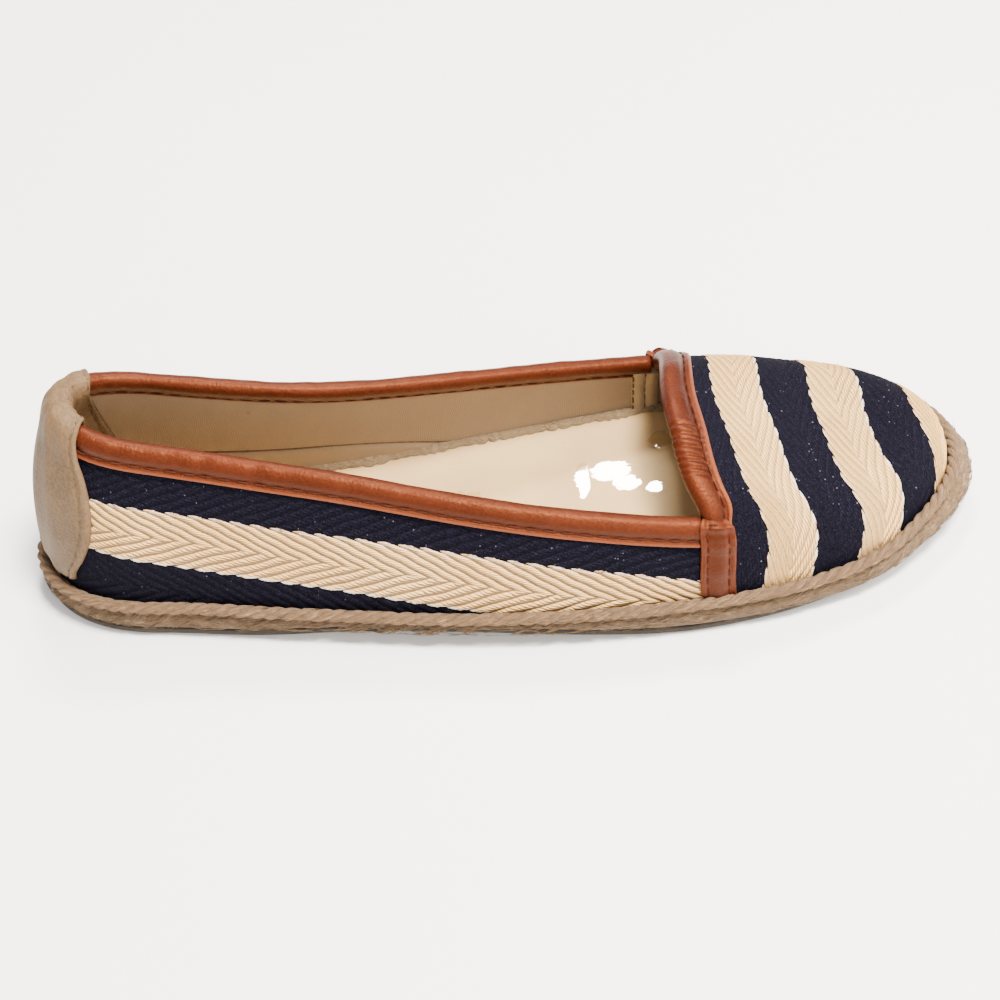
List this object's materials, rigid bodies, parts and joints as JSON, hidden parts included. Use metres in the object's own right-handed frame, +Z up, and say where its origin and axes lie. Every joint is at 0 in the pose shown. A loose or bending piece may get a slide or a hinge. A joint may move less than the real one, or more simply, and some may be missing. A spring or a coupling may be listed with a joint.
{
  "type": "espadrille",
  "caption": "Flat slip-on espadrille for a right foot: striped canvas upper, leather-bound topline, jute-wrapped sole with a cord round its top edge and a thin rubber outsole.",
  "frame": {"origin": "on the floor under the middle of the shoe's length and width", "axes": "+X towards the toe, +Z up from the floor, -Y towards the outer side of the foot"},
  "size_m": [0.2544, 0.0858, 0.0633],
  "materials": {
    "rubber_sole": "matt moulded rubber",
    "jute": "hairy jute braid",
    "jute_cord": "twisted jute cord",
    "sock": "glossy patent sock",
    "canvas": "herringbone canvas in navy and beige stripes",
    "tan_leather": "smooth tan leather with a soft sheen",
    "cream_leather": "soft cream leather"
  },
  "bodies": {
    "root": {"outsole": "rubber_sole", "jute_body": "jute", "jute_rope": "jute_cord", "insole": "sock", "upper": "canvas", "collar_binding": "tan_leather", "vamp_binding": "tan_leather", "side_strip_outer": "tan_leather", "side_strip_inner": "tan_leather", "heel_patch": "cream_leather"}
  },
  "joints": []
}
